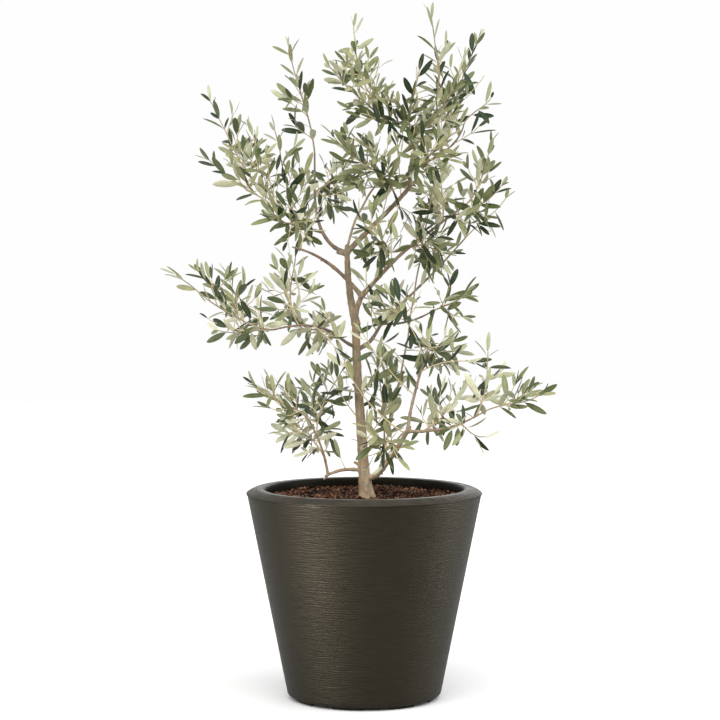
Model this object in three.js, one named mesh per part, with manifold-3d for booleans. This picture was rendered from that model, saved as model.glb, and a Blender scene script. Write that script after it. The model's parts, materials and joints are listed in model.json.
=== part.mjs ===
// Potted olive tree: a plastic pot, its soil, a trunk, tapering boughs and masses of leaves.
// Millimetres, +Z up. The origin is the centre of the pot's flat underside.
import * as THREE from 'three';
import { mergeVertices } from 'three/addons/utils/BufferGeometryUtils.js';
import Module from 'manifold-3d';

const wasm = await Module();
wasm.setup();

// ---- driving dimensions ----
const GAP = 0.4;                 // air between pieces that meet
const POT = {
  height: 453,                   // underside to the crest of the lip
  rimRadius: 254,                // outer edge of the lip
  lipEdge: 443,                  // height of the lip's outer edge
  crestRadius: 228,              // where the lip is highest
  mouthRadius: 214,              // inner edge of the lip
  lipDepth: 29,                  // depth of the lip's inner face
  lipProud: 1,                   // the lip stands this far out from the wall
  lipUnder: 2,                   // height of the lip's underside
  lipShoulder: [5, 4],           // rounding of the lip: inwards from its edge, and up
  lipRound: [2, 3],              // rounding at the mouth: inwards, and down
  lipSeat: 8,                    // slope from the lip back to the wall inside
  wall: 6,                       // thickness of the wall and the base
  baseRadius: 167,               // where the straight wall ends
  footRadius: 155,               // flat underside
  footHeight: 5,                 // drain slots are cut this deep
  cornerHeight: 15,              // where the rounded bottom corner ends
  cornerShares: [0.35, 0.7],     // points along that corner
  slots: 8,
  slotStart: 118,                // slots run outwards from this radius
  slotWidth: 56,
  slotTurn: 9,                   // degrees
  segments: 40,
};
const SOIL_TOP = 434;
const SOIL_ROUND = 1;            // drop of the soil's rounded top edge
const TRUNK_FOOT = { x: 5, y: -30 };
const FLARE = { reach: 38, spread: 0.67 };   // root flare: height it fades over, and growth at the cut
const LIMB_SIDES = 6;
const TRUNK_SIDES = 12;
const FOOT_RINGS = [0.03, 0.07]; // extra rings where the root flare bends most
const LIMB_STEP = 42;            // length of one straight stretch of a limb
const MASS_SIDES = 7;
const MASS_STEPS = 8;
const LUMP = 0.24;               // how uneven a mass of leaves is, as a share of its width
const LEAFLESS = 14;             // a mass starts this far out from the bough that carries it

const COLOURS = {
  pot: '#3c3a30',
  soil: '#4a2f22',
  trunk: '#c3af94',
  bough: '#a08c7d',
  leaves: ['#7f8f63', '#8b9a74', '#6d8058', '#93a07c'],
};

// ---- limbs: each leaves its parent at a share of the parent's length ----
// heading turns from +X towards +Y, rise is above the level, turn and lift are their change to the tip
const LIMBS = [
  { name: 'trunk', length: 372, heading: 180, rise: 84, lift: 5, base: 11.5, tip: 8.4 },
  { name: 'stem_left', on: 'trunk', at: 1, length: 155, heading: 180, rise: 75, lift: 15,
    base: 8, tip: 6 },
  { name: 'stem_right', on: 'trunk', at: 0.985, length: 72, heading: 317, turn: -25, rise: 80,
    lift: -17, base: 6.4, tip: 5.2 },
  { name: 'bough_crossing', on: 'stem_right', at: 0.96, length: 204, heading: 207, turn: 13,
    rise: 52, lift: -40, base: 5, tip: 2.2 },
  { name: 'bough_right', on: 'stem_right', at: 0.99, length: 330, heading: 26, turn: 12,
    rise: 46, lift: -20, base: 4.8, tip: 2.4 },
  { name: 'bough_mid_right', on: 'trunk', at: 0.82, length: 98, heading: 36, turn: 8,
    rise: 36, lift: 16, base: 4.6, tip: 3.6 },
  { name: 'bough_mid_upper', on: 'bough_mid_right', at: 0.99, length: 300, heading: 43,
    turn: -8, rise: 35, lift: 5, base: 3.4, tip: 1.8 },
  { name: 'bough_mid_lower', on: 'bough_mid_right', at: 0.97, length: 152, heading: 317,
    turn: 0, rise: 0, lift: 25, base: 3, tip: 1.8 },
  { name: 'bough_top_right', on: 'stem_left', at: 0.99, length: 208, heading: 24, turn: 0,
    rise: 43, lift: 2, base: 5.6, tip: 4.4 },
  { name: 'bough_leader', on: 'bough_top_right', at: 0.99, length: 196, heading: 202, turn: -79,
    rise: 87, lift: 47, base: 4.4, tip: 2.2 },
  { name: 'bough_upper_right', on: 'bough_leader', at: 0.2, length: 188, heading: 30, turn: 20,
    rise: 10, lift: 45, base: 3.2, tip: 1.8 },
  { name: 'bough_upper_left', on: 'bough_leader', at: 0.43, length: 180, heading: 146, turn: -7,
    rise: 32, lift: 27, base: 3.2, tip: 1.8 },
  { name: 'bough_left', on: 'stem_left', at: 0.98, length: 278, heading: 140, turn: -60,
    rise: 18, lift: 78, base: 4.6, tip: 2 },
  { name: 'bough_left_out', on: 'bough_left', at: 0.3, length: 140, heading: 141, turn: 0,
    rise: 14, lift: 20, base: 3.4, tip: 2 },
  { name: 'bough_left_mid', on: 'trunk', at: 0.84, length: 258, heading: 228, turn: -11,
    rise: 40, lift: -54, base: 3.8, tip: 2 },
  { name: 'bough_low_left', on: 'trunk', at: 0.14, length: 90, heading: 194, turn: 29,
    rise: 23, lift: -42, base: 4, tip: 3.4 },
  { name: 'bough_low_left_up', on: 'bough_low_left', at: 0.98, length: 134, heading: 240,
    turn: -8, rise: 67, lift: -14, base: 3.2, tip: 2 },
  { name: 'bough_low_right', on: 'trunk', at: 0.06, length: 168, heading: 327, turn: -7,
    rise: 42, lift: 14, base: 6.6, tip: 4.8 },
  { name: 'bough_low_right_out', on: 'bough_low_right', at: 0.98, length: 200, heading: 322,
    turn: 7, rise: 7, lift: 17, base: 3.6, tip: 1.9 },
  { name: 'bough_low_right_up', on: 'bough_low_right', at: 0.98, length: 178, heading: 29,
    turn: 31, rise: 81, lift: -23, base: 4, tip: 2.2 },
  { name: 'bough_low_back', on: 'trunk', at: 0.13, length: 204, heading: 56, turn: 42,
    rise: -12, lift: 90, base: 4, tip: 2 },
];

// ---- masses of leaves: each follows a shoot that leaves its bough; side and up are half widths ----
const MASSES = [
  { name: 'left_leader', on: 'bough_left', at: 1, length: 258, heading: 208, turn: 10,
    rise: 74, side: 44, up: 42 },
  { name: 'left_high', on: 'bough_left_out', at: 1, length: 345, heading: 126, turn: 24,
    rise: 53, lift: -10, side: 48, up: 46 },
  { name: 'left_outer', on: 'bough_left_out', at: 0.92, length: 228, heading: 158, turn: 4,
    rise: 38, lift: -12, side: 46, up: 44 },
  { name: 'left_inner', on: 'bough_left_out', at: 0.66, length: 232, heading: 275, turn: -59,
    rise: 75, lift: -24, side: 44, up: 46 },
  { name: 'left_front', on: 'bough_left_out', at: 0.2, length: 232, heading: 250, turn: -10,
    rise: 14, lift: -9, side: 62, up: 56 },
  { name: 'left_back', on: 'bough_left', at: 0.52, length: 250, heading: 75, turn: -6,
    rise: 25, lift: 8, side: 56, up: 52 },
  { name: 'top_left', on: 'bough_upper_left', at: 1, length: 178, heading: 135, turn: -41,
    rise: 53, lift: 24, side: 46, up: 46 },
  { name: 'top_inner', on: 'bough_upper_left', at: 0.3, length: 262, heading: 231, turn: -14,
    rise: 37, lift: -8, side: 62, up: 54 },
  { name: 'top_front', on: 'bough_top_right', at: 0.78, length: 278, heading: 245, turn: -24,
    rise: 36, lift: -13, side: 64, up: 58 },
  { name: 'leader_tip', on: 'bough_leader', at: 1, length: 200, heading: 315, turn: -125,
    rise: 76, side: 40, up: 40 },
  { name: 'leader_right', on: 'bough_leader', at: 0.93, length: 234, heading: 53, turn: -15,
    rise: 39, lift: 15, side: 44, up: 40 },
  { name: 'leader_front', on: 'bough_leader', at: 0.4, length: 226, heading: 261, turn: 35,
    rise: 41, lift: 25, side: 50, up: 46 },
  { name: 'leader_side', on: 'bough_leader', at: 0.64, length: 190, heading: 295, turn: 0,
    rise: 20, lift: 18, side: 46, up: 46 },
  { name: 'leader_foot', on: 'bough_leader', at: 0.08, length: 262, heading: 283, turn: 18,
    rise: 18, lift: 8, side: 54, up: 50 },
  { name: 'upper_right', on: 'bough_upper_right', at: 1, length: 118, heading: 49, turn: -29,
    rise: 48, lift: -21, side: 40, up: 38 },
  { name: 'right_tip', on: 'bough_right', at: 1, length: 182, heading: 41, turn: 3,
    rise: 47, lift: 27, side: 46, up: 42 },
  { name: 'right_back', on: 'bough_right', at: 0.76, length: 262, heading: 100, turn: -30,
    rise: 30, lift: 5, side: 54, up: 50 },
  { name: 'right_front', on: 'bough_right', at: 0.82, length: 226, heading: 298, turn: 18,
    rise: 2, lift: 39, side: 52, up: 48 },
  { name: 'right_outer', on: 'bough_mid_upper', at: 1, length: 168, heading: 47, turn: -23,
    rise: 42, lift: -10, side: 38, up: 38 },
  { name: 'right_under', on: 'bough_mid_upper', at: 0.62, length: 206, heading: 272, turn: -51,
    rise: 33, lift: -7, side: 56, up: 58 },
  { name: 'centre_front', on: 'bough_right', at: 0.22, length: 240, heading: 270, turn: -37,
    rise: 38, lift: -8, side: 54, up: 50 },
  { name: 'mid_front', on: 'bough_mid_lower', at: 0.1, length: 236, heading: 280, turn: 4,
    rise: 20, lift: 0, side: 48, up: 46 },
  { name: 'mid_lower', on: 'bough_mid_lower', at: 1, length: 134, heading: 303, turn: 15,
    rise: 16, lift: 10, side: 52, up: 50 },
  { name: 'mid_hanging', on: 'bough_low_right_up', at: 0.92, length: 192, heading: 77, turn: -26,
    rise: 31, lift: -106, side: 60, up: 56 },
  { name: 'left_mid_tip', on: 'bough_left_mid', at: 1, length: 256, heading: 205, turn: -8,
    rise: 50, lift: -42, side: 48, up: 46 },
  { name: 'left_mid_under', on: 'bough_left_mid', at: 0.95, length: 222, heading: 124, turn: 10,
    rise: 9, lift: -27, side: 50, up: 46 },
  { name: 'left_mid_upper', on: 'bough_left_mid', at: 0.7, length: 234, heading: 112, turn: -42,
    rise: 34, lift: 22, side: 56, up: 54 },
  { name: 'left_mid_back', on: 'bough_left_mid', at: 0.3, length: 250, heading: 118, turn: -5,
    rise: -2, lift: 21, side: 50, up: 46 },
  { name: 'low_left_out', on: 'bough_low_left_up', at: 1, length: 184, heading: 217, turn: -7,
    rise: 33, lift: -3, side: 48, up: 46 },
  { name: 'low_left_crossing', on: 'bough_low_left_up', at: 0.7, length: 220, heading: 105,
    turn: -85, rise: 49, lift: -12, side: 46, up: 44 },
  { name: 'low_left_back', on: 'bough_low_left_up', at: 0.3, length: 250, heading: 104, turn: 30,
    rise: 24, side: 60, up: 56 },
  { name: 'low_back', on: 'bough_low_back', at: 1, length: 192, heading: 85, turn: 30,
    rise: 55, side: 46, up: 44 },
  { name: 'low_front', on: 'bough_low_right', at: 0.7, length: 204, heading: 256, turn: -18,
    rise: 4, lift: 38, side: 54, up: 50 },
  { name: 'low_right_back', on: 'bough_low_right_out', at: 0.2, length: 232, heading: 71,
    turn: -22, rise: 18, lift: 9, side: 52, up: 50 },
  { name: 'low_right_upright', on: 'bough_low_right_out', at: 0.85, length: 184, heading: 56,
    turn: 32, rise: 41, lift: 26, side: 46, up: 42 },
  { name: 'low_right_tip', on: 'bough_low_right_out', at: 1, length: 160, heading: 325, turn: 0,
    rise: 23, lift: -13, side: 46, up: 46 },
  { name: 'low_right_hanging', on: 'bough_low_right_out', at: 0.45, length: 178, heading: 287,
    turn: 40, rise: 6, lift: -22, side: 34, up: 36 },
];

// ---- solids and meshes ----
const WELD = 1e-4;               // points closer than this are one

function solidOf(geometry) {
  geometry.deleteAttribute('normal');
  geometry.deleteAttribute('uv');
  const merged = mergeVertices(geometry, WELD);
  return new wasm.Manifold(new wasm.Mesh({
    numProp: 3,
    vertProperties: new Float32Array(merged.attributes.position.array),
    triVerts: new Uint32Array(merged.index.array),
  }));
}

function geometryOf(solid) {
  const mesh = solid.getMesh();
  const geometry = new THREE.BufferGeometry();
  const places = new Float32Array((mesh.vertProperties.length / mesh.numProp) * 3);
  for (let i = 0; i < places.length / 3; i += 1) {
    for (let k = 0; k < 3; k += 1) places[i * 3 + k] = mesh.vertProperties[i * mesh.numProp + k];
  }
  geometry.setAttribute('position', new THREE.BufferAttribute(places, 3));
  geometry.setIndex(new THREE.BufferAttribute(new Uint32Array(mesh.triVerts), 1));
  geometry.computeVertexNormals();
  return geometry;
}

// the biggest piece of a solid that a cut has split
function mainPiece(solid) {
  const pieces = solid.decompose();
  return pieces.reduce((best, piece) => (piece.volume() > best.volume() ? piece : best));
}

// rings of points joined into a closed skin, with a point at each end
function closedSkin(rings, first, last) {
  const sides = rings[0].length;
  const points = [first, ...rings.flat(), last];
  const faces = [];
  const at = (ring, side) => 1 + ring * sides + (side % sides);
  for (let side = 0; side < sides; side += 1) {
    faces.push(0, at(0, side + 1), at(0, side));
    for (let ring = 0; ring < rings.length - 1; ring += 1) {
      faces.push(at(ring, side), at(ring, side + 1), at(ring + 1, side + 1));
      faces.push(at(ring, side), at(ring + 1, side + 1), at(ring + 1, side));
    }
    faces.push(points.length - 1, at(rings.length - 1, side), at(rings.length - 1, side + 1));
  }
  const geometry = new THREE.BufferGeometry().setFromPoints(points);
  geometry.setIndex(faces);
  return geometry;
}

// ---- the way a shoot grows: a smooth arc whose heading and rise change evenly ----
const degrees = THREE.MathUtils.degToRad;

function directionAt({ heading, turn = 0, rise, lift = 0 }, share) {
  const flat = degrees(heading + turn * share);
  const up = degrees(rise + lift * share);
  return new THREE.Vector3(Math.cos(up) * Math.cos(flat), Math.cos(up) * Math.sin(flat),
    Math.sin(up));
}

function growPath(start, shoot, steps) {
  const path = [start.clone()];
  for (let i = 0; i < steps; i += 1) {
    const stretch = directionAt(shoot, (i + 0.5) / steps).multiplyScalar(shoot.length / steps);
    path.push(path[i].clone().add(stretch));
  }
  return path;
}

function pointOn(path, share) {
  const place = Math.min(share, 1) * (path.length - 1);
  const before = Math.min(Math.floor(place), path.length - 2);
  return path[before].clone().lerp(path[before + 1], place - before);
}

// a level direction square to the path
function levelAcross(forward) {
  const level = new THREE.Vector3(-forward.y, forward.x, 0);
  if (level.length() < 0.05) level.set(0, 1, 0);
  return level.normalize();
}

// frames carried along a path without twisting
function carryFrames(path) {
  const frames = [];
  let across = levelAcross(path[1].clone().sub(path[0]).normalize());
  path.forEach((point, i) => {
    const before = path[Math.max(i - 1, 0)];
    const after = path[Math.min(i + 1, path.length - 1)];
    const forward = after.clone().sub(before).normalize();
    across = across.clone().addScaledVector(forward, -across.dot(forward)).normalize();
    frames.push({ point, forward, across, other: forward.clone().cross(across) });
  });
  return frames;
}

// ---- limbs ----
const limbPaths = new Map();

function limbRadius(limb, share) {
  const taper = limb.base + (limb.tip - limb.base) * share;
  if (limb.name !== 'trunk') return taper;
  return taper * (1 + FLARE.spread * Math.exp(-share * limb.length / FLARE.reach));
}

function growLimb(limb) {
  const start = limb.on
    ? pointOn(limbPaths.get(limb.on), limb.at)
    : new THREE.Vector3(TRUNK_FOOT.x, TRUNK_FOOT.y, SOIL_TOP + GAP);
  const steps = Math.max(2, Math.round(limb.length / LIMB_STEP));
  limbPaths.set(limb.name, growPath(start, limb, steps));
}

// the trunk's first rings lie level, so that its foot is a flat cut
function limbSolid(limb, grow) {
  const path = limbPaths.get(limb.name);
  const isTrunk = limb.name === 'trunk';
  const sides = isTrunk ? TRUNK_SIDES : LIMB_SIDES;
  const frames = carryFrames(path);
  const shares = frames.map((frame, i) => i / (frames.length - 1));
  if (isTrunk) {
    frames[0].across.setZ(0).normalize();
    frames[0].other = new THREE.Vector3(0, 0, 1).cross(frames[0].across);
    FOOT_RINGS.forEach((share, i) => {
      const point = pointOn(path, share);
      frames.splice(i + 1, 0, { ...frames[0], point });
      shares.splice(i + 1, 0, share);
    });
  }
  const rings = frames.map(({ point, across, other }, i) => {
    const radius = limbRadius(limb, shares[i]) + grow;
    return Array.from({ length: sides }, (unused, side) => {
      const angle = (side / sides) * 2 * Math.PI;
      return point.clone().addScaledVector(across, Math.cos(angle) * radius)
        .addScaledVector(other, Math.sin(angle) * radius);
    });
  });
  return solidOf(closedSkin(rings, path[0], path[path.length - 1]));
}

// ---- masses of leaves ----
function seedOf(name) {
  return [...name].reduce((sum, letter) => (sum * 31 + letter.charCodeAt(0)) % 9973, 7);
}

// swellings that run round and along a mass, with waves set by its seed
function lumpAt(seed, share, angle) {
  const wave = Math.sin(angle * 2 + seed + share * 7) + Math.sin(angle * 3 - seed * 2 + share * 11);
  return 1 + LUMP * 0.5 * (wave + Math.sin(share * 13 + seed * 3));
}

function massSolid(mass, grow) {
  const limbPath = limbPaths.get(mass.on);
  const outwards = directionAt(mass, 0);
  const clear = mass.at === 1 ? GAP * 2 : LEAFLESS;
  const start = pointOn(limbPath, mass.at).addScaledVector(outwards, clear);
  const path = growPath(start, { ...mass, length: mass.length - clear }, MASS_STEPS);
  const seed = seedOf(mass.name);
  const frames = carryFrames(path);
  const rings = frames.slice(1, -1).map(({ point, across, other }, i) => {
    const share = (i + 1) / MASS_STEPS;
    const fullness = Math.sin(Math.PI * share ** 0.85) ** 0.65;
    return Array.from({ length: MASS_SIDES }, (unused, side) => {
      const angle = (side / MASS_SIDES) * 2 * Math.PI;
      const size = fullness * lumpAt(seed, share, angle);
      return point.clone()
        .addScaledVector(across, Math.cos(angle) * (mass.side * size + grow))
        .addScaledVector(other, Math.sin(angle) * (mass.up * size + grow));
    });
  });
  const first = path[0].clone().addScaledVector(outwards, -grow);
  const last = path[MASS_STEPS].clone().addScaledVector(directionAt(mass, 1), grow);
  return solidOf(closedSkin(rings, first, last));
}

// ---- pot and soil ----
function wallRadius(height) {
  const share = (height - POT.cornerHeight) / (POT.lipEdge - POT.cornerHeight);
  return POT.baseRadius + (POT.rimRadius - POT.lipProud - POT.baseRadius) * share;
}

function latheSolid(profile) {
  const points = profile.map(([radius, height]) => new THREE.Vector2(radius, height));
  const geometry = new THREE.LatheGeometry(points, POT.segments);
  geometry.rotateX(Math.PI / 2);
  return solidOf(geometry);
}

function potSolid() {
  const { height, lipEdge, rimRadius, crestRadius, mouthRadius, wall, lipDepth, lipSeat } = POT;
  const [shoulderIn, shoulderUp] = POT.lipShoulder;
  const [roundIn, roundDown] = POT.lipRound;
  const corner = POT.cornerShares.map((share) => {
    const angle = share * Math.PI / 2;
    const rise = POT.cornerHeight - POT.footHeight;
    const reach = POT.baseRadius - POT.footRadius;
    return [POT.footRadius + reach * Math.sin(angle),
      POT.footHeight + rise * (1 - Math.cos(angle))];
  });
  const underLip = height - lipDepth;
  const pot = latheSolid([
    [0, 0],
    [POT.footRadius, 0],
    [POT.footRadius, POT.footHeight],
    ...corner,
    [POT.baseRadius, POT.cornerHeight],
    [wallRadius(lipEdge), lipEdge - POT.lipUnder],
    [rimRadius, lipEdge],
    [rimRadius - shoulderIn, lipEdge + shoulderUp],
    [crestRadius, height],
    [mouthRadius + roundIn, height - roundDown / 3],
    [mouthRadius, height - roundDown],
    [mouthRadius - roundIn, underLip],
    [wallRadius(underLip - lipSeat) - wall, underLip - lipSeat],
    [wallRadius(POT.cornerHeight + wall) - wall, POT.cornerHeight + wall],
    [0, POT.cornerHeight + wall],
  ]);
  const slotLength = POT.footRadius + wall * 2 - POT.slotStart;
  return Array.from({ length: POT.slots }, (unused, i) => {
    const slot = new THREE.BoxGeometry(slotLength, POT.slotWidth, POT.footHeight * 2);
    slot.translate(POT.slotStart + slotLength / 2, 0, 0);
    slot.rotateZ(degrees(POT.slotTurn - 90 + (i * 360) / POT.slots));
    return solidOf(slot);
  }).reduce((rest, slot) => rest.subtract(slot), pot);
}

// the soil fills the pot, with air between it and the wall, and its top edge is rounded
function soilSolid() {
  const { height, mouthRadius, wall, lipDepth, lipSeat, cornerHeight } = POT;
  const underLip = height - lipDepth;
  const floor = cornerHeight + wall;
  const clear = GAP * 2;
  const mouth = mouthRadius - POT.lipRound[0] - clear;
  return latheSolid([
    [0, floor + GAP],
    [wallRadius(floor) - wall - clear, floor + GAP],
    [wallRadius(underLip - lipSeat) - wall - clear, underLip - lipSeat - GAP],
    [mouth, underLip],
    [mouth, SOIL_TOP - SOIL_ROUND],
    [mouth - SOIL_ROUND * 2, SOIL_TOP],
    [0, SOIL_TOP],
  ]);
}

// ---- assembly ----
const tree = new THREE.Group();

function addPiece(name, solid, colour, roughness) {
  const material = new THREE.MeshStandardMaterial({ color: colour, roughness, metalness: 0 });
  const mesh = new THREE.Mesh(geometryOf(solid), material);
  mesh.name = name;
  tree.add(mesh);
}

addPiece('pot', potSolid(), COLOURS.pot, 0.5);
addPiece('soil', soilSolid(), COLOURS.soil, 0.95);

LIMBS.forEach(growLimb);
const grownLimbs = LIMBS.map((limb) => limbSolid(limb, GAP));
LIMBS.forEach((limb, i) => {
  const solid = grownLimbs.slice(0, i).reduce((rest, earlier) => rest.subtract(earlier),
    limbSolid(limb, 0));
  addPiece(limb.name, mainPiece(solid), limb.on ? COLOURS.bough : COLOURS.trunk, 0.9);
});

const grownMasses = MASSES.map((mass) => massSolid(mass, GAP));
MASSES.forEach((mass, i) => {
  const neighbours = [...grownLimbs, ...grownMasses.slice(0, i)];
  const solid = neighbours.reduce((rest, neighbour) => rest.subtract(neighbour),
    massSolid(mass, 0));
  const colour = COLOURS.leaves[i % COLOURS.leaves.length];
  addPiece(`leaves_${mass.name}`, mainPiece(solid), colour, 0.6);
});

export default tree;
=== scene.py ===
import json
import math
import bpy
import numpy as np
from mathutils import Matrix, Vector
from mathutils.bvhtree import BVHTree

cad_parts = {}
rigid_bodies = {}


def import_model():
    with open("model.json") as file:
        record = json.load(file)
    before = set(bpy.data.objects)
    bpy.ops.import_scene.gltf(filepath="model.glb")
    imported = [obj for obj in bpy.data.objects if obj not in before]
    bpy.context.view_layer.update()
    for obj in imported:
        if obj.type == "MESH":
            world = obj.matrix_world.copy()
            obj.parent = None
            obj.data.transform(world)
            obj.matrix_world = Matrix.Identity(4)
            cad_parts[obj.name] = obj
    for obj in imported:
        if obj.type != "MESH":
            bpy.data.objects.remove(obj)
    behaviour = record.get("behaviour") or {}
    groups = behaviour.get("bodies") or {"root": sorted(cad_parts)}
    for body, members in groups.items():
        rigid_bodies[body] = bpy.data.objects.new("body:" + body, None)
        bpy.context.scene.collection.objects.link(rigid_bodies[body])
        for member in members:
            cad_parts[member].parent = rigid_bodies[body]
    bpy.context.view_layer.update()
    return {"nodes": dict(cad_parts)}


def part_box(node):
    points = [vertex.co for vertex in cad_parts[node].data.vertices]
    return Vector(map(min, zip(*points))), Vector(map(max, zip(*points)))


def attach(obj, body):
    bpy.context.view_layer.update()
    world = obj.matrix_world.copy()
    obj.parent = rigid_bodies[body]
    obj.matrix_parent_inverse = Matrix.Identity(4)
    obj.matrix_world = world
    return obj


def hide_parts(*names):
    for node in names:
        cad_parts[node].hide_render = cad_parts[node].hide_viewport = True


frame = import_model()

nodeNames = sorted(frame["nodes"])
massNames = [n for n in nodeNames if n.startswith("leaves_")]
limbNames = [n for n in nodeNames if n.startswith(("trunk", "stem_", "bough_"))]


# camera and light

view = {
    "eye": (-0.009, -5.0, 1.000),  # metres, at the height of a low tripod
    "tilt": 86.9,                  # degrees from straight down
    "lens": 116.5,
}

cameraData = bpy.data.cameras.new("viewCamera")
cameraData.lens = view["lens"]
cameraData.clip_end = 100
camera = bpy.data.objects.new("viewCamera", cameraData)
camera.location = view["eye"]
camera.rotation_euler = (math.radians(view["tilt"]), 0, 0)
bpy.context.scene.collection.objects.link(camera)
bpy.context.scene.camera = camera

# a lamp marked shine only makes reflections, low on the pot, and sheds no light on dull surfaces
lightPlan = {
    # name: place, height it aims at, size, spread in degrees, power, tint, shine
    "leftBox": ((-3.0, -3.0, 2.2), 0.75, (2.6, 2.6), 180, 50, (1.0, 0.99, 0.97), False),
    "rightBox": ((3.5, -0.5, 1.8), 0.75, (1.6, 2.4), 180, 40, (0.98, 0.99, 1.0), False),
    "backBox": ((0.6, 4.0, 2.4), 0.75, (3.0, 2.4), 180, 40, (1.0, 1.0, 1.0), False),
    "leftShine": ((-1.70, -1.36, 0.22), 0.22, (1.3, 0.6), 40, 6.6, (1.0, 0.97, 0.90), True),
    "rightShine": ((2.20, 0.05, 0.22), 0.22, (1.0, 0.6), 40, 1.6, (1.0, 0.98, 0.93), True),
}
skyPlan = {
    "seen": 0.990,        # brightness of the plain backdrop
    "shed": 0.60,         # light it gives
    "sun": 2.22,          # one very soft light from above
    "sunSize": 66,        # degrees
    "sunTurn": (36, 1, 0),
}


def addLight(name, place, aimHeight, size, spread, power, tint, shine):
    data = bpy.data.lights.new(name, "AREA")
    data.shape = "RECTANGLE"
    data.size, data.size_y = size
    data.spread = math.radians(spread)
    data.energy = power
    data.color = tint
    lamp = bpy.data.objects.new(name, data)
    lamp.location = place
    lamp.rotation_euler = (Vector((0, 0, aimHeight)) - lamp.location).to_track_quat("-Z", "Y").to_euler()
    lamp.visible_diffuse = not shine
    bpy.context.scene.collection.objects.link(lamp)


for lightName, plan in lightPlan.items():
    addLight(lightName, *plan)

sunData = bpy.data.lights.new("softSun", "SUN")
sunData.energy = skyPlan["sun"]
sunData.angle = math.radians(skyPlan["sunSize"])
sun = bpy.data.objects.new("softSun", sunData)
sun.rotation_euler = [math.radians(turn) for turn in skyPlan["sunTurn"]]
bpy.context.scene.collection.objects.link(sun)

world = bpy.data.worlds.new("studio")
bpy.context.scene.world = world
world.use_nodes = True
worldTree = world.node_tree
ray = worldTree.nodes.new("ShaderNodeLightPath")
level = worldTree.nodes.new("ShaderNodeMapRange")
level.inputs["To Min"].default_value = skyPlan["shed"]
level.inputs["To Max"].default_value = skyPlan["seen"]
worldTree.links.new(ray.outputs["Is Camera Ray"], level.inputs["Value"])
backdrop = worldTree.nodes["Background"]
backdrop.inputs["Color"].default_value = (1, 1, 1, 1)
worldTree.links.new(level.outputs["Result"], backdrop.inputs["Strength"])
bpy.context.scene.view_settings.view_transform = "Standard"
print("camera and light ready")


# small tools

def unit(v):
    return v / np.maximum(np.linalg.norm(v, axis=-1, keepdims=True), 1e-12)


# angles evenly spread round a turn, without the last that equals the first
def roundTurn(count):
    return np.linspace(0, 2 * math.pi, count, endpoint=False)


# length of a path up to each of its points
def lengthsAlong(path):
    return np.r_[0, np.cumsum(np.linalg.norm(np.diff(path, axis=0), axis=1))]


def smoothStep(x):
    x = np.clip(x, 0, 1)
    return x * x * (3 - 2 * x)


# value of a field made of a few waves with random directions, lengths and phases, about -1 to 1
def waveField(points, scale, seed, waves=9):
    rng = np.random.default_rng(seed)
    turns = unit(rng.normal(size=(waves, 3))) * rng.uniform(0.6, 1.7, (waves, 1)) / scale
    phases = rng.uniform(0, 2 * math.pi, waves)
    return np.sin(points @ turns.T + phases).sum(-1) / math.sqrt(waves) * 0.9


# faces of a stack of rings: quads from ring to ring and a fan at each end, at the foot to the
# first of the two points that follow the rings and at the tip to the second
def ringFaces(rings, sides):
    i, j = np.meshgrid(np.arange(rings - 1), np.arange(sides), indexing="ij")
    k = (j + 1) % sides
    here, there = i * sides, (i + 1) * sides
    quads = np.stack([here + j, here + k, there + k, there + j], -1).reshape(-1, 4)
    j, k, last = j[0], k[0], (rings - 1) * sides
    foot = np.stack([np.full(sides, rings * sides), k, j], -1)
    tip = np.stack([np.full(sides, rings * sides + 1), last + j, last + k], -1)
    return quads, np.concatenate([foot, tip])


# blocks for addMesh from points that quads and triangles share
def shareBlocks(points, quads, triangles, quadMaterial=0, triangleMaterial=0):
    return [(points, quads, quadMaterial), (points[:0], triangles - len(points), triangleMaterial)]


# one mesh from a list of (points, quads or triangles, material number) blocks
def addMesh(name, blocks, materials, replaced=(), uv=None):
    points, loops, sizes, mats, offset = [], [], [], [], 0
    for pts, faces, mat in blocks:
        points.append(pts)
        loops.append((faces + offset).ravel())
        sizes.append(np.full(len(faces), faces.shape[1]))
        mats.append(np.broadcast_to(mat, len(faces)))
        offset += len(pts)
    points = np.concatenate(points).astype(np.float32)
    loops = np.concatenate(loops).astype(np.int32)
    sizes = np.concatenate(sizes).astype(np.int32)
    mesh = bpy.data.meshes.new(name)
    mesh.vertices.add(len(points))
    mesh.vertices.foreach_set("co", points.ravel())
    mesh.loops.add(len(loops))
    mesh.loops.foreach_set("vertex_index", loops)
    mesh.polygons.add(len(sizes))
    mesh.polygons.foreach_set("loop_start", np.r_[0, np.cumsum(sizes)[:-1]].astype(np.int32))
    mesh.polygons.foreach_set("loop_total", sizes)
    mesh.polygons.foreach_set("material_index", np.concatenate(mats).astype(np.int32))
    mesh.update(calc_edges=True)
    mesh.shade_smooth()
    for material in materials:
        mesh.materials.append(material)
    if uv is not None:
        layer = mesh.uv_layers.new(name="UVMap")
        layer.data.foreach_set("uv", uv[loops].astype(np.float32).ravel())
    piece = bpy.data.objects.new(name, mesh)
    bpy.context.scene.collection.objects.link(piece)
    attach(piece, "root")
    if replaced:
        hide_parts(*replaced)
    return piece


# a CAD node's points with the doubles merged, and its triangles
def readNode(name):
    mesh = frame["nodes"][name].data
    points = np.empty(len(mesh.vertices) * 3)
    mesh.vertices.foreach_get("co", points)
    corners = np.empty(len(mesh.loops), int)
    mesh.loops.foreach_get("vertex_index", corners)
    merged, first = np.unique(np.round(points.reshape(-1, 3), 6), axis=0, return_inverse=True)
    return merged, first.ravel()[corners].reshape(-1, 3)


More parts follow.
